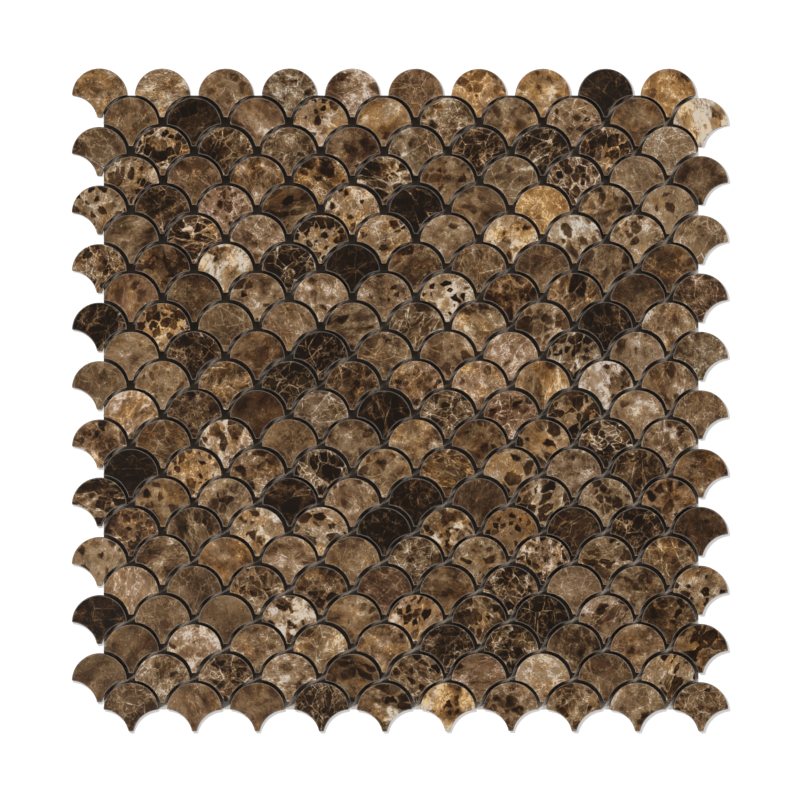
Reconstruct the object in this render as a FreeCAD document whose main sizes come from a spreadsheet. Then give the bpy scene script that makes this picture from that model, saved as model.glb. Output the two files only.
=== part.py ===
import FreeCAD, Part
import math
import os
import Sketcher
from enum import IntEnum
from FreeCAD import Vector

# A sheet of fish scale mosaic: rows of fan-shaped marble chips, every other row set half a
# pitch across so that the crowns of one row fill the hollow flanks of the row above, all
# glued face up on one thin sheet of backing mesh. +X runs along a row, +Y points at the
# crowns, +Z is the polished side. The origin is the middle of the sheet on the floor.

DOCUMENT_NAME = "fish_scale_mosaic"

# Driving dimensions in millimetres, and counts.
SIZES = {
    # radius of a chip's round crown and of its two hollow flanks
    "chip_radius": 12.6,
    # narrowest stem that the two flank arcs would leave between them
    "stem_waist": 1.6,
    # how far the flanks' centres lie above a point one radius below the crown's centre
    "flank_lift": 0.3,
    # grout joint: how far the chips of two neighbouring rows stand apart, along and across the row
    "joint_along": 1.1,
    "joint_across": 1.1,
    # from a chip's tip to the crown of the chip two rows down
    "tip_gap": 4.5,
    "chip_thickness": 8.9,
    "backing_thickness": 0.6,
    "chips_per_row": 10,
    "row_count": 22,
    # equal sides that each arc of the outline is cut in: 220 chips make fine arcs heavy
    "crown_sides": 10,
    "flank_sides": 3,
    # where the mesh is cut, inside the centre lines of the outermost chips
    "left_cut_inset": 1.8,
    "right_cut_inset": 0.8,
    "top_cut_inset": -0.5,
    "bottom_cut_inset": 2.3,
}

# Sizes that follow from the driving ones, as expressions over the spreadsheet.
FLANK_REACH = "(sizes.chip_radius + sizes.stem_waist / 2)"
FLANK_DROP = "(sizes.chip_radius - sizes.flank_lift)"
COLUMN_PITCH = f"(2 * ({FLANK_REACH} + sizes.joint_along))"
ROW_PITCH = f"({FLANK_DROP} + sizes.joint_across)"
TIP_DEPTH = f"(2 * {ROW_PITCH} - sizes.chip_radius - sizes.tip_gap)"
CENTRE_SPAN_X = f"((sizes.chips_per_row - 0.5) * {COLUMN_PITCH})"
CENTRE_SPAN_Y = f"((sizes.row_count - 1) * {ROW_PITCH})"
LEFTMOST_CENTRE_X = f"(-{CENTRE_SPAN_X} / 2)"
TOP_CENTRE_Y = f"(({CENTRE_SPAN_Y} + {TIP_DEPTH} - sizes.chip_radius) / 2)"


class Point(IntEnum):
    """The points of a sketch element."""
    START = 1
    END = 2
    CENTRE = 3


class Axis(IntEnum):
    """The elements that every sketch has. The horizontal axis starts at the origin."""
    HORIZONTAL = -1
    VERTICAL = -2


def make_sizes(document):
    """The spreadsheet of driving dimensions, one alias a row."""
    sheet = document.addObject("Spreadsheet::Sheet", "sizes")
    for line, (name, value) in enumerate(SIZES.items(), start=1):
        sheet.set(f"A{line}", name)
        sheet.set(f"B{line}", str(value))
        sheet.setAlias(f"B{line}", name)
    document.recompute()
    return sheet


def constrain(sketch, kind, *elements):
    return sketch.addConstraint(Sketcher.Constraint(kind, *elements))


def dimension(sketch, name, expression, kind, *elements):
    """A named dimension of a sketch, bound to the spreadsheet."""
    index = constrain(sketch, kind, *elements)
    sketch.renameConstraint(index, name)
    sketch.setExpression(f"Constraints.{name}", expression)


def add_arc_circle(sketch, centre, radius):
    """The construction circle that an arc of the outline is struck on."""
    return sketch.addGeometry(Part.Circle(centre, Vector(0, 0, 1), radius), True)


def add_sides(sketch, circle, first_angle, last_angle, count):
    """An arc of the outline as a chain of equal sides with their ends on its circle."""
    arc = sketch.Geometry[circle]
    turn = (last_angle - first_angle) / count
    angles = [first_angle + turn * place for place in range(count + 1)]
    points = [
        arc.Center + Vector(arc.Radius * math.cos(angle), arc.Radius * math.sin(angle), 0)
        for angle in angles
    ]
    sides = [sketch.addGeometry(Part.LineSegment(*ends)) for ends in zip(points, points[1:])]
    for side, following in zip(sides, sides[1:]):
        constrain(sketch, "Coincident", side, Point.END, following, Point.START)
        constrain(sketch, "PointOnObject", side, Point.END, circle)
        constrain(sketch, "Equal", side, following)
    return sides


def draw_fan(sketch, sheet):
    """One chip about the centre of its crown: round crown, two hollow flanks, flat tip.

    Crown and flanks are struck with one radius, so a crown would fill the flank above it if the
    chips were laid touching. Laying the rows apart opens the joint between them.
    """
    radius = float(sheet.chip_radius)
    flank_reach = radius + float(sheet.stem_waist) / 2
    flank_drop = radius - float(sheet.flank_lift)
    row_pitch = flank_drop + float(sheet.joint_across)
    tip_depth = 2 * row_pitch - radius - float(sheet.tip_gap)

    # the corner lies where the crown's circle meets the flank's circle
    centre_distance = math.hypot(flank_reach, flank_drop)
    corner_angle = math.acos(centre_distance / 2 / radius) - math.atan2(flank_drop, flank_reach)
    corner_x = radius * math.cos(corner_angle)
    corner_y = radius * math.sin(corner_angle)
    tip_rise = flank_drop - tip_depth
    tip_x = flank_reach - math.sqrt(radius**2 - tip_rise**2)

    # angles at which the right flank starts and ends, about its own centre
    flank_top = math.atan2(corner_y + flank_drop, corner_x - flank_reach)
    flank_foot = math.atan2(tip_rise, tip_x - flank_reach)

    crown_circle = add_arc_circle(sketch, Vector(0, 0, 0), radius)
    left_circle = add_arc_circle(sketch, Vector(-flank_reach, -flank_drop, 0), radius)
    right_circle = add_arc_circle(sketch, Vector(flank_reach, -flank_drop, 0), radius)
    flank_sides = int(sheet.flank_sides)
    crown = add_sides(sketch, crown_circle, corner_angle, math.pi - corner_angle, int(sheet.crown_sides))
    left = add_sides(sketch, left_circle, math.pi - flank_top, math.pi - flank_foot, flank_sides)
    right = add_sides(sketch, right_circle, flank_foot, flank_top, flank_sides)
    tip_left = Vector(-tip_x, -tip_depth, 0)
    tip_right = Vector(tip_x, -tip_depth, 0)
    tip = sketch.addGeometry(Part.LineSegment(tip_left, tip_right))

    # the outline closes from the crown down the left flank, along the tip and up the right
    for side, following in [(crown[-1], left[0]), (left[-1], tip), (tip, right[0]), (right[-1], crown[0])]:
        constrain(sketch, "Coincident", side, Point.END, following, Point.START)
    for corner, circle in [(crown[0], right_circle), (left[0], left_circle)]:
        constrain(sketch, "PointOnObject", corner, Point.START, circle)
        constrain(sketch, "PointOnObject", corner, Point.START, crown_circle)
    constrain(sketch, "PointOnObject", tip, Point.START, left_circle)
    constrain(sketch, "PointOnObject", tip, Point.END, right_circle)
    constrain(sketch, "Horizontal", tip)

    constrain(sketch, "Coincident", crown_circle, Point.CENTRE, Axis.HORIZONTAL, Point.START)
    constrain(sketch, "Equal", left_circle, right_circle)
    constrain(sketch, "Equal", crown_circle, right_circle)
    constrain(sketch, "Symmetric", left_circle, Point.CENTRE, right_circle, Point.CENTRE, Axis.VERTICAL)
    dimension(sketch, "radius", "sizes.chip_radius", "Radius", crown_circle, radius)
    origin = (Axis.HORIZONTAL, Point.START)
    across = (*origin, right_circle, Point.CENTRE, flank_reach)
    dimension(sketch, "flank_reach", FLANK_REACH, "DistanceX", *across)
    down = (right_circle, Point.CENTRE, *origin, flank_drop)
    dimension(sketch, "flank_drop", FLANK_DROP, "DistanceY", *down)
    depth = (tip, Point.START, *origin, tip_depth)
    dimension(sketch, "tip_depth", TIP_DEPTH, "DistanceY", *depth)


def make_chip_row(document, sheet, row):
    """One row of chips, counted from the top: a padded fan repeated along the row."""
    name = f"chip_row_{row + 1:02d}"
    body = document.addObject("PartDesign::Body", name)
    body.Label = name

    sketch = body.newObject("Sketcher::SketchObject", f"{name}_outline")
    ground = next(plane for plane in body.Origin.OriginFeatures if plane.Role == "XY_Plane")
    sketch.AttachmentSupport = [(ground, "")]
    sketch.MapMode = "FlatFace"
    draw_fan(sketch, sheet)

    chip = body.newObject("PartDesign::Pad", f"{name}_chip")
    chip.Profile = sketch
    chip.setExpression("Length", "sizes.chip_thickness")

    chips = body.newObject("PartDesign::LinearPattern", f"{name}_chips")
    chips.Originals = [chip]
    chips.Direction = (sketch, ["H_Axis"])
    chips.Mode = "Spacing"
    chips.setExpression("Offset", COLUMN_PITCH)
    chips.setExpression("Occurrences", "sizes.chips_per_row")
    body.Tip = chips

    # rows 2, 4, 6 and so on stand half a pitch across
    stagger = f"{row % 2} * {COLUMN_PITCH} / 2"
    body.setExpression("Placement.Base.x", f"{LEFTMOST_CENTRE_X} + {stagger}")
    body.setExpression("Placement.Base.y", f"{TOP_CENTRE_Y} - {row} * {ROW_PITCH}")
    body.setExpression("Placement.Base.z", "sizes.backing_thickness")
    return body


def make_backing(document):
    """The backing mesh, cut straight near the centre lines of the outermost chips."""
    backing = document.addObject("Part::Box", "mesh_backing")
    backing.Label = "mesh_backing"
    width = f"{CENTRE_SPAN_X} - sizes.left_cut_inset - sizes.right_cut_inset"
    depth = f"{CENTRE_SPAN_Y} - sizes.top_cut_inset - sizes.bottom_cut_inset"
    bottom_centre_y = f"({TOP_CENTRE_Y} - {CENTRE_SPAN_Y})"
    backing.setExpression("Length", width)
    backing.setExpression("Width", depth)
    backing.setExpression("Height", "sizes.backing_thickness")
    backing.setExpression("Placement.Base.x", f"{LEFTMOST_CENTRE_X} + sizes.left_cut_inset")
    backing.setExpression("Placement.Base.y", f"{bottom_centre_y} + sizes.bottom_cut_inset")
    return backing


def check(document, pieces):
    """Stops where an object failed to build or a piece is empty or broken."""
    for item in document.Objects:
        if "Invalid" in item.State or "Error" in item.State:
            raise RuntimeError(f"{item.Name} did not build: {item.State}")
    for piece in pieces:
        if piece.Shape.isNull() or not piece.Shape.isValid():
            raise RuntimeError(f"{piece.Label} has no sound shape")


document = FreeCAD.newDocument(DOCUMENT_NAME)
sheet = make_sizes(document)
pieces = [make_backing(document)]
pieces += [make_chip_row(document, sheet, row) for row in range(int(sheet.row_count))]
document.recompute()
check(document, pieces)

os.makedirs("parts", exist_ok=True)
for piece in pieces:
    piece.Shape.exportStep(f"parts/{piece.Label}.step")
    box = piece.Shape.BoundBox
    print(
        f"{piece.Label}: {len(piece.Shape.Solids)} solids,",
        f"{box.XLength:.2f} x {box.YLength:.2f} x {box.ZLength:.2f} mm",
    )
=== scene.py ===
import math
import random

import bpy
import numpy as np
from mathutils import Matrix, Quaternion, Vector


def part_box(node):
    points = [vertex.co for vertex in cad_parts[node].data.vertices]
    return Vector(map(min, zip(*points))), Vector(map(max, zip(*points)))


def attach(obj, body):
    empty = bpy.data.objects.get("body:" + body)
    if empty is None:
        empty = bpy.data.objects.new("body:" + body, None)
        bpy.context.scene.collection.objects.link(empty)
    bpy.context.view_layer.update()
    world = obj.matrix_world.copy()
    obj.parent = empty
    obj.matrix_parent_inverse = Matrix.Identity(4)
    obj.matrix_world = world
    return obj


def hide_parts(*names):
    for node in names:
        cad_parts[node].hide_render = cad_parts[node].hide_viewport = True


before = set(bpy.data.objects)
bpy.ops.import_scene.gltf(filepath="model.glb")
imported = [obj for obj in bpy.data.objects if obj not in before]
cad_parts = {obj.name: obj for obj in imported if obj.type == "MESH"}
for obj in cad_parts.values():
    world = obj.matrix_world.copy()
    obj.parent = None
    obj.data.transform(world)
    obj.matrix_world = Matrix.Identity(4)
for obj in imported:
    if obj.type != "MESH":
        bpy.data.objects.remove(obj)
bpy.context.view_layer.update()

# A mosaic sheet of fan-shaped marble chips in fish scale rows on a cut sheet of backing mesh,
# lying face up and seen from straight above. Sizes are in millimetres unless named otherwise.

MM = 0.001
SEED = 41

# The fan: a round crown and two hollow flanks, all struck with one radius. The centres of the
# flanks lie out to the sides of the crown's centre, and below it.
CHIP_RADIUS = 12.6
FLANK_REACH = 13.4
FLANK_DROP = 12.3
CHIPS_PER_ROW = 10

# how finely an outline is drawn, and how far each corner is eased by handling
CROWN_POINTS = 64
FLANK_POINTS = 26
CORNER_STEPS = 5
SIDE_CORNER_EASE = 0.55
TIP_CORNER_EASE = 0.4
# the most of the tip's half width that its corner takes
TIP_CORNER_SHARE = 0.6

# the ground arris between wall and face, and its waver round the chip
ARRIS = 0.36
ARRIS_STEPS = 3
ARRIS_WAVER = 0.6
ARRIS_WAVES = (2, 5, 11)
LEAST_ARRIS_SHARE = 0.4
# the strip of face drawn inside the arris, and how far in arris, nick and strip reach at most
FACE_MARGIN = 0.10
DEEPEST_INSET = 0.85
NICKS_PER_CHIP = 3
NICK_WIDTH = (0.25, 0.8)
NICK_DEPTH = (0.1, 0.45)
# rings of a chip: its bed, the arris with both its ends, and the edge of its face
RING_COUNT = ARRIS_STEPS + 3
# how much of each finish the rings have, from the bed up to the face; the same shares lay on the painted
# shade of the walls and the painted highlight of the arris
RING_FINISH_AND_PAINTED_LIGHT = {
    "sawn": (0.6, 0.6, 0.35, 0.0, 0.0, 0.0),
    "arris": (0.0, 0.05, 0.15, 0.2, 0.2, 0.0),
}

# chips come from anywhere in the block, and each bed in it is drawn out along one direction
BLOCK_SPREAD = 900.0
DRAWN_OUT = (1.0, 1.9)

# hand laying: how far a chip is off its place, turned, out of level and pressed in
LAYING_SHIFT = 0.10
LARGEST_SHIFT = 0.4
LAYING_TURN_DEG = 0.5
LAYING_TILT_DEG = 0.10
LARGEST_TILT_DEG = 0.2
LIPPAGE = 0.05

# Threads on the underside of the mesh, which bend a little at every step. Those along x and
# those along y have feet of different height, so that they don't lie in one plane.
THREAD_PITCH = 4.8
THREAD_WIDTH = 0.7
THREAD_RISE = 0.16
THREAD_FEET = (0.02, 0.05)
THREAD_STEP = 4.8
THREAD_WAVER = 0.15
# mesh that hangs out past the lower cut, wholly in the painted light of that cut
LIP = 2.2

# faces that meet at less than this angle are shaded as one surface
CHIP_SMOOTH_DEG = 50
FILM_SMOOTH_DEG = 40


def box_mm(node):
    """The lowest and the highest corner of a node's box in the frame."""
    return [Vector(corner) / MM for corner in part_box(node)]


chip_rows = sorted(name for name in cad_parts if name.startswith("chip_row_"))
top_row_low, top_row_high = box_mm(chip_rows[0])
HALF_PITCH = box_mm(chip_rows[1])[0].x - top_row_low.x
TIP_DEPTH = top_row_high.y - top_row_low.y - CHIP_RADIUS
FACE_HEIGHT = top_row_high.z
BED_HEIGHT = top_row_low.z


def linear(colour):
    """A colour written as sRGB hex, as the linear RGBA that a shader takes."""
    parts = [int(colour[place:place + 2], 16) / 255 for place in (1, 3, 5)]
    return tuple(p / 12.92 if p <= 0.04045 else ((p + 0.055) / 1.055) ** 2.4 for p in parts) + (1.0,)


def add(tree, kind, inputs=(), out=0, **settings):
    """Adds a node with its settings, fills or links its inputs, and gives one of its outputs.

    The inputs are a list in the order of the node's sockets, or a dictionary by socket.
    """
    node = tree.nodes.new("ShaderNode" + kind)
    for name, value in settings.items():
        setattr(node, name, value)
    for socket, value in inputs.items() if isinstance(inputs, dict) else enumerate(inputs):
        if isinstance(value, bpy.types.NodeSocket):
            tree.links.new(value, node.inputs[socket])
        else:
            node.inputs[socket].default_value = value
    return node.outputs[out] if node.outputs else node


def new_material(name):
    """An empty material and its node tree."""
    material = bpy.data.materials.new(name)
    material.use_nodes = True
    material.node_tree.nodes.clear()
    return material, material.node_tree


def set_values(mesh, name, kind, domain, values):
    """Gives every point or face of a mesh its value, for a material to read."""
    attribute = mesh.attributes.new(name, kind, domain)
    field = "vector" if kind == "FLOAT_VECTOR" else "value"
    attribute.data.foreach_set(field, np.asarray(values, dtype=np.float32).ravel())


def make_piece(name, vertices, faces, material, smooth_under_deg=CHIP_SMOOTH_DEG):
    """A mesh object of one material, from vertices in metres."""
    mesh = bpy.data.meshes.new(name)
    mesh.from_pydata(np.asarray(vertices).tolist(), [], faces)
    mesh.validate()
    mesh.shade_smooth()
    mesh.set_sharp_from_angle(angle=math.radians(smooth_under_deg))
    mesh.materials.append(material)
    piece = bpy.data.objects.new(name, mesh)
    bpy.context.scene.collection.objects.link(piece)
    return piece


# The stone. Every chip was cut somewhere else in the block, so each is its own mix of the marble.
# ground: tone of the shattered ground, from near-black (0) to cream (1)
# fragment: tone of the dark pieces in it
# share: how much ground shows between them
# crackle: how strongly the ground is shattered
# veins: thin pale veins
# cream: clean patches
# rust: golden (+) or grey (-)
# rose: pink
# fineness: how small the pattern is
# softness: how gently a dark piece passes into the ground
# mottle: how cloudy the whole is
# hairlines: thin rusty cracks
KIND_ATTRIBUTES = {
    "ground_fragment_share": ("ground", "fragment", "share"),
    "crackle_veins_cream": ("crackle", "veins", "cream"),
    "rust_rose_fineness": ("rust", "rose", "fineness"),
    "softness_mottle_hairlines": ("softness", "mottle", "hairlines"),
}
STONE_KINDS = {
    "clouded": (0.56, 0.24, 0.45, 0.5, 0.45, 0.0, 0.0, 0.0, 0.9, 0.28, 1.0, 0.3),
    "blotched": (0.64, 0.14, 0.42, 0.6, 0.50, 0.0, 0.2, 0.0, 1.0, 0.12, 0.9, 0.2),
    "netted": (0.45, 0.11, 0.10, 0.8, 1.00, 0.0, -0.05, 0.0, 1.0, 0.11, 0.8, 0.0),
    "plain": (0.47, 0.32, 0.80, 0.25, 0.50, 0.0, -0.15, 0.0, 0.8, 0.40, 0.8, 0.4),
    "black": (0.15, 0.00, -0.20, 0.4, 0.80, 0.0, -0.2, 0.0, 0.8, 0.30, 0.4, 0.0),
    "tan": (0.69, 0.40, 0.70, 0.6, 0.40, 0.10, 0.0, 0.1, 0.9, 0.32, 1.0, 0.9),
    "cream": (0.63, 0.17, 0.50, 0.7, 0.40, 0.51, 0.2, 0.0, 1.0, 0.16, 1.0, 0.3),
    "grey": (0.50, 0.28, 0.50, 0.8, 0.60, 0.02, -0.8, 0.0, 1.0, 0.35, 1.1, 0.0),
    "rosy": (0.52, 0.32, 0.50, 0.6, 0.40, 0.0, -0.1, 0.7, 1.0, 0.30, 0.9, 0.8),
    "golden": (0.72, 0.40, 0.75, 0.5, 0.30, 0.22, 0.7, 0.0, 0.9, 0.30, 1.1, 0.5),
}
# how far a chip departs from its kind, value by value
KIND_SPREADS = (0.09, 0.07, 0.2, 0.15, 0.2, 0.07, 0.25, 0.15, 0.15, 0.06, 0.2, 0.15)
# how often each kind comes out of the block
KIND_SHARES = {
    "clouded": 27, "blotched": 21, "netted": 18, "plain": 12, "tan": 8, "golden": 4, "cream": 1,
    "black": 4, "grey": 3, "rosy": 3,
}
# chips that stand out, by row and place from the left
CHIPS_OF_KIND = {
    "black": [
        (1, 9), (2, 2), (5, 6), (9, 1), (9, 9), (10, 4), (11, 4), (12, 5), (14, 1), (15, 6),
        (16, 5), (16, 8), (19, 1),
    ],
    "blotched": [(2, 8), (8, 6)],
    "clouded": [(14, 10), (21, 5)],
    "cream": [(2, 10), (6, 7), (6, 8), (7, 3), (11, 9), (16, 3), (16, 6), (19, 4), (22, 5), (22, 6)],
    "golden": [(1, 7), (1, 8), (1, 10), (5, 8), (11, 8)],
    "grey": [(1, 4)],
    "netted": [
        (3, 7), (3, 8), (3, 9), (4, 5), (4, 8), (7, 1), (9, 6), (12, 6), (19, 7), (19, 10), (20, 6),
        (20, 7),
    ],
    "plain": [(1, 3), (1, 6), (2, 9), (3, 10), (4, 7), (6, 10), (12, 4), (18, 2)],
    "rosy": [(8, 1), (21, 7)],
    "tan": [
        (1, 1), (1, 2), (1, 5), (2, 1), (2, 3), (5, 10), (6, 3), (6, 6), (9, 10), (11, 2), (13, 6),
        (13, 10), (15, 5), (18, 1), (20, 2), (20, 5), (20, 9), (21, 8), (22, 2), (22, 9),
    ],
}
CHOSEN_KINDS = {chip: kind for kind, chips in CHIPS_OF_KIND.items() for chip in chips}


def stone_of(row, place, dice):
    """The mix of one chip: that of its kind, with departures of its own."""
    drawn = dice.choices(list(KIND_SHARES), weights=KIND_SHARES.values())[0]
    kind = STONE_KINDS[CHOSEN_KINDS.get((row, place), drawn)]
    return [dice.gauss(middle, spread) for middle, spread in zip(kind, KIND_SPREADS)]


def place_in_block(points, dice):
    """Where the points of a chip lay in the block: turned any way, and its bed drawn out."""
    offset = np.array([dice.uniform(-BLOCK_SPREAD, BLOCK_SPREAD) for _ in range(3)])
    turn = Quaternion([dice.gauss(0, 1) for _ in range(4)]).normalized()
    draw_out = np.diag([1 / dice.uniform(*DRAWN_OUT), 1.0, 1.0])
    return points @ (draw_out @ np.array(turn.to_matrix())).T + offset


# Outline of one chip.

def arc(centre, radius, start, end, ease, count):
    """Points along an arc, short of each end by the length that its corner is eased over."""
    turn = 1 if end > start else -1
    angles = np.linspace(start + turn * ease[0] / radius, end - turn * ease[1] / radius, count)
    return np.stack([centre[0] + radius * np.cos(angles), centre[1] + radius * np.sin(angles)], axis=1)


def eased(before, corner, after):
    """The points between two stretches of outline, where the corner is worn round."""
    spans = np.linspace(0, 1, CORNER_STEPS + 1)[1:-1, None]
    return (1 - spans) ** 2 * before + 2 * spans * (1 - spans) * corner + spans ** 2 * after


def fan_outline(inset):
    """One chip about its crown centre, counter-clockwise from its right corner, drawn in by the inset.

    Outlines of any inset have the same number of points, each next to its own kind.
    """
    crown_radius = CHIP_RADIUS - inset
    flank_radius = CHIP_RADIUS + inset
    tip_depth = TIP_DEPTH - inset

    # the side corner is where the crown's circle meets the flank's, and the tip ends on the flank's
    distance = math.hypot(FLANK_REACH, FLANK_DROP)
    foot = (crown_radius ** 2 - flank_radius ** 2 + distance ** 2) / (2 * distance)
    corner_angle = math.acos(foot / crown_radius) - math.atan2(FLANK_DROP, FLANK_REACH)
    corner = crown_radius * np.array([math.cos(corner_angle), math.sin(corner_angle)])
    rise = FLANK_DROP - tip_depth
    tip = np.array([FLANK_REACH - math.sqrt(flank_radius ** 2 - rise ** 2), -tip_depth])
    flank_top = math.atan2(corner[1] + FLANK_DROP, corner[0] - FLANK_REACH)
    flank_foot = math.atan2(rise, tip[0] - FLANK_REACH)

    side_ease = SIDE_CORNER_EASE
    tip_ease = min(TIP_CORNER_EASE, TIP_CORNER_SHARE * tip[0])
    crown_ends = (corner_angle, math.pi - corner_angle)
    crown = arc((0, 0), crown_radius, *crown_ends, (side_ease, side_ease), CROWN_POINTS)
    flank_centre = (FLANK_REACH, -FLANK_DROP)
    right = arc(flank_centre, flank_radius, flank_foot, flank_top, (tip_ease, side_ease), FLANK_POINTS)
    mirror = np.array([-1, 1])
    left = (right * mirror)[::-1]
    tip_flat = np.array([[tip_ease - tip[0], -tip_depth], [tip[0] - tip_ease, -tip_depth]])

    stretches = [crown, left, tip_flat, right]
    corners = [corner * mirror, tip * mirror, tip, corner]
    points = []
    for place, stretch in enumerate(stretches):
        following = stretches[(place + 1) % len(stretches)]
        points += [stretch, eased(stretch[-1], corners[place], following[0])]
    return np.concatenate(points)


def run_length(points):
    """How far along the outline each point lies, and the length of the whole."""
    gaps = np.linalg.norm(np.roll(points, -1, axis=0) - points, axis=1)
    return np.concatenate([[0], np.cumsum(gaps)[:-1]]), gaps.sum()


# One chip, from its bed up to its face.

def arris_width(along, length, dice):
    """The width of the arris round one chip: a hand-ground waver, with nicks."""
    width = np.full(len(along), ARRIS)
    for waves in ARRIS_WAVES:
        phase = dice.uniform(0, 2 * math.pi)
        wave = np.sin(2 * math.pi * waves * along / length + phase)
        width += ARRIS * ARRIS_WAVER / 2 * wave * dice.random()
    for _ in range(dice.randrange(NICKS_PER_CHIP + 1)):
        away = np.abs(along - dice.uniform(0, length))
        away = np.minimum(away, length - away)
        width += dice.uniform(*NICK_DEPTH) * np.exp(-(away / dice.uniform(*NICK_WIDTH)) ** 2)
    return np.clip(width, ARRIS * LEAST_ARRIS_SHARE, DEEPEST_INSET - FACE_MARGIN)


def chip_points(outer, inner, dice):
    """The rings of one chip: its bed, the wall top and arris in steps, and the edge of its face."""
    width = arris_width(*run_length(outer), dice)
    into_face = (inner - outer) / DEEPEST_INSET
    rings = [(outer, np.full(len(outer), BED_HEIGHT))]
    for step in range(ARRIS_STEPS + 1):
        quarter = step / ARRIS_STEPS * math.pi / 2
        ring = outer + into_face * (width * (1 - math.cos(quarter)))[:, None]
        rings.append((ring, FACE_HEIGHT - width * (1 - math.sin(quarter))))
    face_edge = outer + into_face * (width + FACE_MARGIN)[:, None]
    rings.append((face_edge, np.full(len(outer), FACE_HEIGHT)))
    flat, heights = zip(*rings)
    return np.concatenate(flat), np.concatenate(heights)


def chip_faces(corners):
    """The faces of one chip: its bed, bands from ring to ring, and its face."""
    top = (RING_COUNT - 1) * corners
    faces = [tuple(range(corners - 1, -1, -1))]
    for low in range(0, top, corners):
        high = low + corners
        for here in range(corners):
            there = (here + 1) % corners
            faces.append((low + here, low + there, high + there, high + here))
    faces.append(tuple(range(top, top + corners)))
    return faces


def laid(flat, heights, centre, inwards, dice):
    """The points of one chip as laid by hand. Where a way inwards is given, it isn't laid further out."""
    turn = math.radians(dice.gauss(0, LAYING_TURN_DEG))
    spin = np.array([[math.cos(turn), -math.sin(turn)], [math.sin(turn), math.cos(turn)]])
    shift = [dice.gauss(0, LAYING_SHIFT) for _ in range(2)]
    shift = np.clip(shift, -LARGEST_SHIFT, LARGEST_SHIFT)
    for axis, side in enumerate(inwards):
        if side:
            shift[axis] = side * abs(shift[axis])
    placed = flat @ spin.T + np.array(centre) + shift

    tilt = [math.radians(dice.gauss(0, LAYING_TILT_DEG)) for _ in range(2)]
    tilt = np.clip(tilt, -math.radians(LARGEST_TILT_DEG), math.radians(LARGEST_TILT_DEG))
    sink = np.abs(tilt).sum() * CHIP_RADIUS + dice.uniform(0, LIPPAGE)
    above_bed = (heights - BED_HEIGHT) / (FACE_HEIGHT - BED_HEIGHT)
    raised = heights + above_bed * (flat @ tilt - sink)
    return np.column_stack([placed, raised])


def inward(index, count):
    """The way in from the first (1) and from the last (-1) of a run, and 0 between them."""
    return 1 if index == 0 else -1 if index == count - 1 else 0


def lay_row(number, node, outlines, material):
    """One row of chips as a joined mesh, standing for that row's node."""
    dice = random.Random(SEED * 1000 + number)
    low, high = box_mm(node)
    first_x = low.x + (high.x - low.x) / 2 - (CHIPS_PER_ROW - 1) * HALF_PITCH
    centre_y = high.y - CHIP_RADIUS
    corners = len(outlines[0])
    one_chip = chip_faces(corners)
    vertices, faces, stone_at, mixes = [], [], [], []
    for place in range(CHIPS_PER_ROW):
        mixes.append(stone_of(number, place + 1, dice))
        flat, heights = chip_points(*outlines, dice)
        centre = (first_x + 2 * HALF_PITCH * place, centre_y)
        inwards = (inward(place, CHIPS_PER_ROW), -inward(number - 1, len(chip_rows)))
        vertices.append(laid(flat, heights, centre, inwards, dice))
        stone_at.append(place_in_block(np.column_stack([flat, heights]), dice))
        start = place * len(flat)
        faces += [tuple(start + corner for corner in face) for face in one_chip]

    piece = make_piece(f"stone_row_{number:02d}", np.concatenate(vertices) * MM, faces, material)
    set_values(piece.data, "stone_at", "FLOAT_VECTOR", "POINT", np.concatenate(stone_at))
    for name, shares in RING_FINISH_AND_PAINTED_LIGHT.items():
        set_values(piece.data, name, "FLOAT", "POINT", np.tile(np.repeat(shares, corners), CHIPS_PER_ROW))
    face_mixes = np.repeat(mixes, len(one_chip), axis=0)
    for third, name in enumerate(KIND_ATTRIBUTES):
        set_values(piece.data, name, "FLOAT_VECTOR", "FACE", face_mixes[:, 3 * third:3 * third + 3])
    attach(piece, "root")
    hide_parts(node)
    return piece


# Brown brecciated marble, sawn, honed and polished: dark pieces of an older bed, broken up and
# knitted together by paler shattered ground and thin calcite veins. The polish gives its face a
# soft gloss, the ground arris is pale and in part a painted highlight, and the sawn walls are dull
# and painted dark as painted shade in the joints. The tones of the stone run from near-black (0)
# to cream (1).
MARBLE_STOPS = (
    (0.00, "#140a02"), (0.12, "#1d1005"), (0.26, "#33200f"), (0.40, "#4b341f"), (0.54, "#6a5034"),
    (0.68, "#876b4b"), (0.80, "#9b7f5e"), (0.90, "#ad9477"), (1.00, "#d6c9b7"),
)
MARBLE_IOR = 1.5
POLISHED_ROUGHNESS = 0.28
SAWN_ROUGHNESS = 0.75
# the share of sawn or ground finish at which the polish is all gone
POLISH_GONE_AT = 0.2
# sawn walls, painted darker and redder than the stone as painted shade in the joints
SAWN_WALL_AND_JOINT_SHADE = "#543a27"
# pale ground arris, partly a painted highlight along each chip's edge
GROUND_ARRIS_AND_HIGHLIGHT = "#b8ada0"
# relief of the sawn walls and the ground arris
SAW_MARKS_STRENGTH = 0.5
SAW_MARKS_DEPTH = 0.2

# what nearly all of a noise lies between, and how rough the cloudy ones are
NOISE_RANGE = (0.25, 0.75)
NOISE_ROUGHNESS = 0.55

# folds of the bed, and how far the veins, which came later, follow them
FOLD_MM = 4.0
FOLD_REACH_MM = 1.8
VEIN_BEND_MM = 0.6
# clouds over the whole, large and small
CLOUD_MM = 7.0
CLOUD_TONES = (-0.30, 0.30)
MOTTLE_MM = 1.3
MOTTLE_TONES = (-0.10, 0.10)
# dark pieces: room for ground from place to place and from piece to piece, how wide the ground
# between them then is in their own size, how fully each covers it, and how their tones differ
PIECE_MM = 4.6
SPREAD_MM = 9.0
ROOM_BY_PLACE = (-0.8, 0.8)
ROOM_BY_PIECE = (-0.3, 0.3)
GROUND_WIDTH = 0.50
PIECE_COVERS = (0.5, 1.1)
PIECE_TONES = (-0.12, 0.12)
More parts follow.
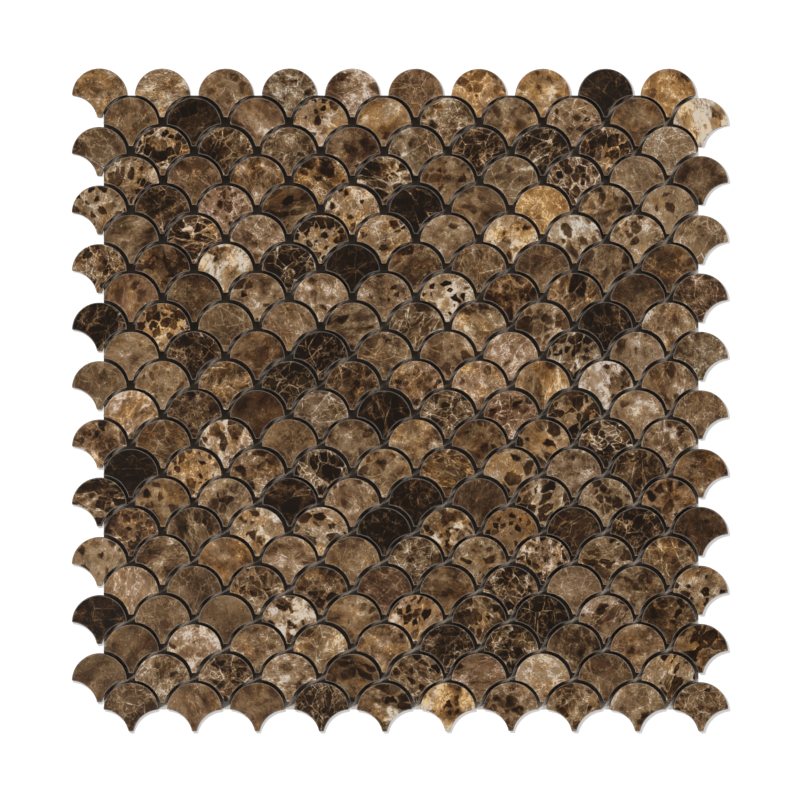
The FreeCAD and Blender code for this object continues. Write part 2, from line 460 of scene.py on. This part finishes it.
# swells, in which cracks, veins and grain come and go
SWELL_MM = 3.0
# grit of the shattered ground and the cracks between its grains
GRIT_MM = 1.5
GRIT_TONES = (-0.10, 0.06)
CRACK_WIDTH = 0.16
CRACK_TONE = 0.60
CRACK_SWELLS = (0.35, 1.0)
# veins, seams between the dark pieces, and wisps
VEIN_MM = 9.0
VEIN_SWELLS = (0.25, 0.9)
VEIN_WIDTHS = (0.002, 0.065)
VEIN_STRENGTH = 0.8
SEAM_STRENGTH = 0.6
WISP_MM = 7.0
WISP_WIDTH = 0.10
WISP_STRENGTH = 0.5
VEIN_TONE = 0.72
# crystals, drawn coarser than they are so that they show: flecks, pits, and a tooth that grows
# with the crackle of the ground
GRAIN_MM = 0.65
FLECK_GRAIN = (0.66, 0.76)
FLECK_TONE = 0.35
PIT_GRAIN = (0.34, 0.24)
PIT_TONE = -0.25
TOOTH_TONES = (-0.26, 0.26)
TOOTH_BY_CRACKLE = 0.5
LEAST_TOOTH = 0.6
# patches of clean calcite and the cracks across them
CURD_MM = 8.0
CURD_EDGE = (0.98, 1.06)
CREAM_TONE = 0.96
CREAM_CRACK_TONE = -1.2
# stain: much iron makes the stone golden, little makes it grey, and rose beds show best where
# there is least
STAIN_MM = 6.5
STAIN_RANGE = (-0.9, 0.9)
GOLDEN_IRON = (0.1, 1.0)
GREY_IRON = (-0.1, -1.0)
ROSE_IRON = 0.7
GOLDEN_TINT = (1.20, 0.96, 0.58, 1.0)
GREY_TINT = (0.93, 1.0, 1.10, 1.0)
ROSE_TINT = (1.12, 0.90, 0.93, 1.0)
# rusty hairline cracks
HAIRLINE_MM = 8.0
HAIRLINE_WIDTH = 0.05
HAIRLINE_STRENGTH = 0.7
RUST = "#6b3820"


def clouds(tree, place, size_mm, detail, values):
    """A cloudy pattern of one size, between two values."""
    inputs = {"Vector": place, "Scale": 1 / size_mm, "Detail": detail, "Roughness": NOISE_ROUGHNESS}
    pattern = add(tree, "TexNoise", inputs)
    return add(tree, "MapRange", [pattern, *NOISE_RANGE, *values], clamp=False)


def broken_pieces(tree, place, size_mm):
    """Broken pieces of one size: three random values of each, and how far inside it a place lies."""
    broken = {"Vector": place, "Scale": 1 / size_mm}
    nearest = add(tree, "TexVoronoi", broken).node
    second = add(tree, "TexVoronoi", broken, feature="F2")
    own = add(tree, "SeparateColor", [nearest.outputs["Color"]]).node.outputs
    return own, add(tree, "Math", [second, nearest.outputs["Distance"]], operation="SUBTRACT")


def folded_bed(tree, place, fineness):
    """The fold at a place, and the folded place, where the patterns of the bed are read."""
    fold = add(tree, "TexNoise", {"Vector": place, "Scale": 1 / FOLD_MM, "Detail": 5.0}, out="Color")
    fold = add(tree, "VectorMath", [fold, (0.5, 0.5, 0.5)], operation="SUBTRACT")
    reach = add(tree, "VectorMath", {0: fold, "Scale": 2 * FOLD_REACH_MM}, operation="SCALE")
    folded = add(tree, "VectorMath", [place, reach], operation="ADD")
    return fold, add(tree, "VectorMath", {0: folded, "Scale": fineness}, operation="SCALE")


def cloudy_tone(tree, folded, strength):
    """The clouds over the whole chip."""
    cloud = clouds(tree, folded, CLOUD_MM, 3.0, CLOUD_TONES)
    mottle = clouds(tree, folded, MOTTLE_MM, 3.0, MOTTLE_TONES)
    both = add(tree, "Math", [cloud, mottle], operation="ADD")
    return add(tree, "Math", [both, strength], operation="MULTIPLY")


def dark_pieces(tree, place, folded, mix):
    """The dark pieces, where the ground leaves them room: how much of one covers a place, its
    tone, and how far inside it the place lies."""
    own, depth = broken_pieces(tree, folded, PIECE_MM)
    room = clouds(tree, place, SPREAD_MM, 2.0, ROOM_BY_PLACE)
    room = add(tree, "Math", [room, mix["share"]], operation="ADD")
    own_room = add(tree, "MapRange", [own[1], 0.0, 1.0, *ROOM_BY_PIECE])
    room = add(tree, "Math", [room, own_room], operation="ADD")
    gap = add(tree, "MapRange", [room, 0.0, 1.0, 0.0, GROUND_WIDTH], clamp=False)
    inside = add(tree, "Math", [depth, gap], operation="SUBTRACT")
    inside = add(tree, "MapRange", [inside, 0.0, mix["softness"]], interpolation_type="SMOOTHSTEP")
    own_cover = add(tree, "MapRange", [own[2], 0.0, 1.0, *PIECE_COVERS])
    cover = add(tree, "Math", [inside, own_cover], operation="MULTIPLY")
    own_tone = add(tree, "MapRange", [own[0], 0.0, 1.0, *PIECE_TONES])
    tone = add(tree, "Math", [mix["fragment"], own_tone], operation="ADD")
    return cover, tone, depth


def shattered_ground(tree, folded, swell, mix):
    """The tone of the paler ground between the dark pieces, and the cracks in it."""
    own, depth = broken_pieces(tree, folded, GRIT_MM)
    grit = add(tree, "MapRange", [own[0], 0.0, 1.0, *GRIT_TONES])
    crack = add(tree, "MapRange", [depth, 0.0, CRACK_WIDTH, CRACK_TONE, 0.0])
    open_here = add(tree, "MapRange", [swell, *CRACK_SWELLS])
    crack = add(tree, "Math", [crack, open_here], operation="MULTIPLY")
    shatter = add(tree, "Math", [grit, crack], operation="ADD")
    shatter = add(tree, "Math", [shatter, mix["crackle"]], operation="MULTIPLY")
    return add(tree, "Math", [shatter, mix["ground"]], operation="ADD"), crack


def pale_veins(tree, bent, depth, swell, strength):
    """Thin pale veins: a few straight ones across the block, wisps, and seams round the dark pieces."""
    width = add(tree, "MapRange", [swell, *VEIN_SWELLS, *VEIN_WIDTHS])
    vein = broken_pieces(tree, bent, VEIN_MM)[1]
    vein = add(tree, "MapRange", [vein, 0.0, width, VEIN_STRENGTH, 0.0])
    seam = add(tree, "MapRange", [depth, 0.0, width, SEAM_STRENGTH, 0.0])
    wisp = clouds(tree, bent, WISP_MM, 4.0, (-1.0, 1.0))
    wisp = add(tree, "Math", [wisp], operation="ABSOLUTE")
    wisp = add(tree, "MapRange", [wisp, 0.0, WISP_WIDTH, WISP_STRENGTH, 0.0])
    vein = add(tree, "Math", [vein, seam], operation="MAXIMUM")
    vein = add(tree, "Math", [vein, wisp], operation="MAXIMUM")
    return add(tree, "Math", [vein, strength], operation="MULTIPLY")


def crystal_tones(tree, grain, swell, crackle):
    """White flecks, dark pits, and the tooth of the grain."""
    fleck = add(tree, "MapRange", [grain, *FLECK_GRAIN, 0.0, FLECK_TONE])
    pit = add(tree, "MapRange", [grain, *PIT_GRAIN, 0.0, PIT_TONE])
    tooth = add(tree, "MapRange", [grain, *NOISE_RANGE, *TOOTH_TONES])
    coarse = add(tree, "Math", [crackle, TOOTH_BY_CRACKLE, LEAST_TOOTH], operation="MULTIPLY_ADD")
    coarse = add(tree, "Math", [swell, coarse], operation="MULTIPLY")
    return fleck, pit, add(tree, "Math", [tooth, coarse], operation="MULTIPLY")


def with_cream(tree, tone, folded, cloud, crack, amount):
    """The tone with patches of clean calcite in it, crossed by brown cracks."""
    curd = add(tree, "TexNoise", {"Vector": folded, "Scale": 1 / CURD_MM, "Detail": 4.0})
    curd = add(tree, "Math", [curd, amount], operation="ADD")
    curd = add(tree, "MapRange", [curd, *CURD_EDGE], interpolation_type="SMOOTHSTEP")
    clean = add(tree, "Math", [cloud, CREAM_TONE], operation="ADD")
    clean = add(tree, "Math", [crack, CREAM_CRACK_TONE, clean], operation="MULTIPLY_ADD")
    return add(tree, "Mix", {0: curd, 2: tone, 3: clean})


def coloured(tree, tone):
    """The colour of each tone of the stone."""
    ramp = add(tree, "ValToRGB", [tone]).node
    stops = ramp.color_ramp.elements
    while len(stops) < len(MARBLE_STOPS):
        stops.new(0.5)
    for stop, (where, colour) in zip(stops, MARBLE_STOPS):
        stop.position = where
        stop.color = linear(colour)
    return ramp.outputs[0]


def stained(tree, colour, folded, mix):
    """The colour with iron stain, grey beds and rose beds."""
    stain = clouds(tree, folded, STAIN_MM, 4.0, STAIN_RANGE)
    iron = add(tree, "Math", [stain, mix["rust"]], operation="ADD")
    golden = add(tree, "MapRange", [iron, *GOLDEN_IRON])
    grey = add(tree, "MapRange", [iron, *GREY_IRON])
    rose = add(tree, "Math", [ROSE_IRON, stain], operation="SUBTRACT")
    rose = add(tree, "Math", [mix["rose"], rose], operation="MULTIPLY")
    for amount, tint in ((golden, GOLDEN_TINT), (grey, GREY_TINT), (rose, ROSE_TINT)):
        inputs = {0: amount, 6: colour, 7: tint}
        colour = add(tree, "Mix", inputs, out=2, data_type="RGBA", blend_type="MULTIPLY")
    return colour


def with_hairlines(tree, colour, bent, strength):
    """The colour with thin rusty cracks."""
    line = clouds(tree, bent, HAIRLINE_MM, 3.0, (-1.0, 1.0))
    line = add(tree, "Math", [line], operation="ABSOLUTE")
    line = add(tree, "MapRange", [line, 0.0, HAIRLINE_WIDTH, HAIRLINE_STRENGTH, 0.0])
    line = add(tree, "Math", [line, strength], operation="MULTIPLY")
    return add(tree, "Mix", {0: line, 6: colour, 7: linear(RUST)}, out=2, data_type="RGBA")


def polished_brown_marble():
    """The stone of all chips. Each chip's mesh says where in the block it lay, and its mix."""
    material, tree = new_material("brown_marble_polished")
    place = add(tree, "Attribute", out="Vector", attribute_name="stone_at")
    sawn = add(tree, "Attribute", out="Fac", attribute_name="sawn")
    arris = add(tree, "Attribute", out="Fac", attribute_name="arris")
    mix = {}
    for name, fields in KIND_ATTRIBUTES.items():
        vector = add(tree, "Attribute", out="Vector", attribute_name=name)
        mix.update(zip(fields, add(tree, "SeparateXYZ", [vector]).node.outputs))

    # the bed was folded before it broke, and the veins came after that
    fold, folded = folded_bed(tree, place, mix["fineness"])
    bend = add(tree, "VectorMath", {0: fold, "Scale": 2 * VEIN_BEND_MM}, operation="SCALE")
    bent = add(tree, "VectorMath", [place, bend], operation="ADD")

    cloud = cloudy_tone(tree, folded, mix["mottle"])
    cover, dark, depth = dark_pieces(tree, place, folded, mix)
    swell = clouds(tree, place, SWELL_MM, 3.0, (0.0, 1.0))
    light, crack = shattered_ground(tree, folded, swell, mix)
    tone = add(tree, "Mix", {0: cover, 2: light, 3: dark})
    tone = add(tree, "Math", [tone, cloud], operation="ADD")
    veins = pale_veins(tree, bent, depth, swell, mix["veins"])
    tone = add(tree, "Math", [veins, VEIN_TONE, tone], operation="MULTIPLY_ADD")
    grain = add(tree, "TexNoise", {"Vector": place, "Scale": 1 / GRAIN_MM, "Detail": 3.0})
    for part in crystal_tones(tree, grain, swell, mix["crackle"]):
        tone = add(tree, "Math", [tone, part], operation="ADD")
    tone = with_cream(tree, tone, folded, cloud, crack, mix["cream"])

    colour = coloured(tree, tone)
    colour = stained(tree, colour, folded, mix)
    colour = with_hairlines(tree, colour, bent, mix["hairlines"])

    # the sawn walls and the ground arris scatter more light; the walls are painted darker and redder as
    # painted shade in the joints, and the arris paler, partly as a painted highlight
    for finish, shade in ((sawn, SAWN_WALL_AND_JOINT_SHADE), (arris, GROUND_ARRIS_AND_HIGHLIGHT)):
        colour = add(tree, "Mix", {0: finish, 6: colour, 7: linear(shade)}, out=2, data_type="RGBA")
    rough = add(tree, "Math", [sawn, arris], operation="MAXIMUM")
    gloss = add(tree, "MapRange", [rough, 0.0, POLISH_GONE_AT, POLISHED_ROUGHNESS, SAWN_ROUGHNESS])
    marks = add(tree, "Math", [grain, rough], operation="MULTIPLY")
    marks = {"Strength": SAW_MARKS_STRENGTH, "Distance": SAW_MARKS_DEPTH * MM, "Height": marks}
    bump = add(tree, "Bump", marks)
    finish = {"Base Color": colour, "Roughness": gloss, "IOR": MARBLE_IOR, "Normal": bump}
    add(tree, "OutputMaterial", [add(tree, "BsdfPrincipled", finish)])
    return material


# Backing: glass fibre mesh, woven square and bedded in a film of adhesive.

def film_slab(low, high):
    """The film, down to the shoulders of the threads on its underside."""
    vertices = [
        (x, y, z)
        for z in (low.z + THREAD_RISE, high.z)
        for x, y in ((low.x, low.y), (high.x, low.y), (high.x, high.y), (low.x, high.y))
    ]
    faces = [(3, 2, 1, 0), (4, 5, 6, 7), (0, 1, 5, 4), (1, 2, 6, 5), (2, 3, 7, 6), (3, 0, 4, 7)]
    return vertices, faces


def thread(axis, across, start, end, floor_z, dice):
    """One thread on the underside, a shallow ridge that wanders a little."""
    half = THREAD_WIDTH / 2
    foot = THREAD_FEET[axis]
    profile = [(-half, THREAD_RISE), (-half / 2, foot), (half / 2, foot), (half, THREAD_RISE)]
    count = max(2, round((end - start) / THREAD_STEP))
    vertices = []
    for place in range(count + 1):
        middle = across + dice.uniform(-THREAD_WAVER, THREAD_WAVER)
        for offset, rise in profile:
            point = [middle + offset, middle + offset, floor_z + rise]
            point[axis] = start + (end - start) * place / count
            vertices.append(tuple(point))
    faces = []
    for place in range(count):
        for strand in range(len(profile) - 1):
            here = len(profile) * place + strand
            there = here + len(profile)
            quad = (here, there, there + 1, here + 1)
            faces.append(quad if axis == 1 else quad[::-1])
    return vertices, faces


def backing_sheet(material):
    """The mesh in its film, cut straight, with threads along x and along y under it."""
    low, high = box_mm("mesh_backing")
    low.y -= LIP
    dice = random.Random(SEED)
    parts = [film_slab(low, high)]
    for axis in (0, 1):
        first, last = low[1 - axis], high[1 - axis]
        count = int((last - first - THREAD_WIDTH) / THREAD_PITCH)
        margin = (last - first - count * THREAD_PITCH) / 2
        for place in range(count + 1):
            across = first + margin + place * THREAD_PITCH
            parts.append(thread(axis, across, low[axis], high[axis], low.z, dice))

    vertices, faces, is_thread = [], [], []
    for number, (part_vertices, part_faces) in enumerate(parts):
        start = len(vertices)
        vertices += part_vertices
        faces += [tuple(start + corner for corner in face) for face in part_faces]
        is_thread += [float(number > 0)] * len(part_faces)
    piece = make_piece("backing_mesh_film", np.array(vertices) * MM, faces, material, FILM_SMOOTH_DEG)
    set_values(piece.data, "thread", "FLOAT", "FACE", is_thread)
    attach(piece, "root")
    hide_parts("mesh_backing")
    return piece


# Dried adhesive over glass thread: pale grey-brown, a little glossy in patches where it ran, with
# paler threads. Towards the right and the lower cut it is painted near-white, as painted light on those
# rims.
FILM_SHADES = ("#a6998a", "#bfb2a2")
# painted light: the near-white of the right and lower rims
PAINTED_LIGHT_ON_RIM = "#f2eee6"
GLASS_THREAD = "#dcd6cb"
FILM_PATCH_MM = 8.333
# how far inside each cut the painted light begins, and where it is full
RIGHT_PAINTED_LIGHT = (4.0, 2.0)
LOWER_PAINTED_LIGHT = (2.0, 0.0)
# roughness, from the patches where the adhesive ran to those where it dried dull
FILM_PATCHES = (0.3, 0.7)
FILM_ROUGHNESS = (0.38, 0.62)
FILM_RELIEF_STRENGTH = 0.4
FILM_RELIEF = 0.3


def adhesive_filled_mesh():
    """The backing seen through the joints, at its cut edges and from below, with painted light towards
    the right and the lower cut.
    """
    material, tree = new_material("adhesive_filled_mesh")
    at = add(tree, "TexCoord", out="Object")
    patches = add(tree, "TexNoise", {"Vector": at, "Scale": 1 / (FILM_PATCH_MM * MM), "Detail": 4.0})
    dark, pale = map(linear, FILM_SHADES)
    colour = add(tree, "Mix", {0: patches, 6: dark, 7: pale}, out=2, data_type="RGBA")

    where = add(tree, "SeparateXYZ", [at]).node.outputs
    low, high = box_mm("mesh_backing")
    right_cut = [(high.x - inset) * MM for inset in RIGHT_PAINTED_LIGHT]
    lower_cut = [(low.y + inset) * MM for inset in LOWER_PAINTED_LIGHT]
    # the rims towards the right and the lower cut are painted near-white, as painted light
    right = add(tree, "MapRange", [where["X"], *right_cut])
    lower = add(tree, "MapRange", [where["Y"], *lower_cut])
    painted_light = add(tree, "Math", [right, lower], operation="MAXIMUM")
    thread_here = add(tree, "Attribute", out="Fac", attribute_name="thread")
    for share, shade in ((painted_light, PAINTED_LIGHT_ON_RIM), (thread_here, GLASS_THREAD)):
        colour = add(tree, "Mix", {0: share, 6: colour, 7: linear(shade)}, out=2, data_type="RGBA")

    rough = add(tree, "MapRange", [patches, *FILM_PATCHES, *FILM_ROUGHNESS])
    relief = {"Strength": FILM_RELIEF_STRENGTH, "Distance": FILM_RELIEF * MM, "Height": patches}
    bump = add(tree, "Bump", relief)
    finish = {"Base Color": colour, "Roughness": rough, "Normal": bump}
    add(tree, "OutputMaterial", [add(tree, "BsdfPrincipled", finish)])
    return material


# Floor, lamps, dome and camera. Their sizes and places are in metres.
FLOOR_SIZE = 12.0
# how much of the white that the camera sees is the floor's own light, and its paint elsewhere
FLOOR_GLOW = 0.5
FLOOR_PAINT = 0.8

LAMP_SIZE = 0.14
# place and watts
SHEET_LAMPS = {
    "lamp_upper_right": ((0.50, 0.52, 0.85), 4.9),
    "lamp_lower_left": ((-0.55, -0.38, 0.80), 4.9),
}
FLOOR_LAMPS = {"lamp_floor": ((-0.22, 0.22, 2.45), 62.0)}

# The dome has strength 1 at the sides and less overhead and behind the camera. Each sets in
# over a stretch of height, from level (0) to straight up (1).
OVERHEAD = (0.0, 0.5)
OVERHEAD_STRENGTH = 0.40
BEHIND_CAMERA = (0.92, 0.985)
BEHIND_CAMERA_STRENGTH = 0.1

# the photograph, and the camera straight above, with its sizes in millimetres
PHOTO_PIXELS = 800
PHOTO_MM_PER_PIXEL = 0.4579
CAMERA_HEIGHT = 4000.0
SENSOR_WIDTH = 36.0
SIGHT_END = 50.0


def white_floor():
    """Painted board that the camera and reflections see as white, with the sheet's shadow on it."""
    material, tree = new_material("white_floor")
    path = add(tree, "LightPath").node
    seen = path.outputs["Is Camera Ray"]
    for ray in ("Is Glossy Ray", "Is Transmission Ray"):
        seen = add(tree, "Math", [seen, path.outputs[ray]], operation="MAXIMUM")
    glow = add(tree, "Math", [seen, FLOOR_GLOW], operation="MULTIPLY")
    glow = add(tree, "Emission", {"Strength": glow})
    share = add(tree, "MapRange", [seen, 0.0, 1.0, FLOOR_PAINT, 1.0 - FLOOR_GLOW])
    paint = add(tree, "CombineColor", [share, share, share])
    paint = add(tree, "BsdfDiffuse", [paint])
    add(tree, "OutputMaterial", [add(tree, "AddShader", [glow, paint])])
    return material


def lay_floor():
    """The floor that the sheet lies on."""
    half = FLOOR_SIZE / 2
    corners = [(-half, -half, 0), (half, -half, 0), (half, half, 0), (-half, half, 0)]
    floor = make_piece("floor", corners, [(0, 1, 2, 3)], white_floor())
    return floor


def hang_lamps(lamps, group_name, lit_pieces):
    """Square lamps aimed at the middle of the sheet, which light only the given pieces."""
    lit = bpy.data.collections.new(group_name)
    for piece in lit_pieces:
        lit.objects.link(piece)
    for name, (place, watts) in lamps.items():
        light = bpy.data.lights.new(name, "AREA")
        light.size = LAMP_SIZE
        light.energy = watts
        lamp = bpy.data.objects.new(name, light)
        lamp.location = place
        lamp.rotation_euler = Vector(place).to_track_quat("Z", "Y").to_euler()
        bpy.context.scene.collection.objects.link(lamp)
        lamp.light_linking.receiver_collection = lit


def studio_dome():
    """A soft white dome round the sheet."""
    world = bpy.data.worlds.new("studio")
    world.use_nodes = True
    tree = world.node_tree
    tree.nodes.clear()
    way = add(tree, "TexCoord", out="Generated")
    up = add(tree, "SeparateXYZ", [way], out="Z")
    overhead = [up, *OVERHEAD, 1.0, OVERHEAD_STRENGTH]
    overhead = add(tree, "MapRange", overhead, interpolation_type="SMOOTHSTEP")
    behind_camera = [up, *BEHIND_CAMERA, 1.0, BEHIND_CAMERA_STRENGTH]
    behind_camera = add(tree, "MapRange", behind_camera, interpolation_type="SMOOTHSTEP")
    strength = add(tree, "Math", [overhead, behind_camera], operation="MULTIPLY")
    add(tree, "OutputWorld", [add(tree, "Background", {"Strength": strength})])
    return world


def overhead_camera():
    """A camera straight above, which frames the sheet as the photograph does."""
    view = bpy.data.cameras.new("camera")
    view.sensor_width = SENSOR_WIDTH
    view.lens = SENSOR_WIDTH * (CAMERA_HEIGHT - FACE_HEIGHT) / (PHOTO_PIXELS * PHOTO_MM_PER_PIXEL)
    view.clip_end = SIGHT_END
    camera = bpy.data.objects.new("camera", view)
    camera.location = (0, 0, CAMERA_HEIGHT * MM)
    bpy.context.scene.collection.objects.link(camera)
    return camera


marble = polished_brown_marble()
outlines = fan_outline(0), fan_outline(DEEPEST_INSET)
sheet = [lay_row(number, node, outlines, marble) for number, node in enumerate(chip_rows, start=1)]
sheet.append(backing_sheet(adhesive_filled_mesh()))

floor = lay_floor()
hang_lamps(SHEET_LAMPS, "lit_sheet", sheet)
hang_lamps(FLOOR_LAMPS, "lit_floor", [floor])
bpy.context.scene.world = studio_dome()
bpy.context.scene.camera = overhead_camera()
bpy.context.scene.view_settings.view_transform = "Standard"
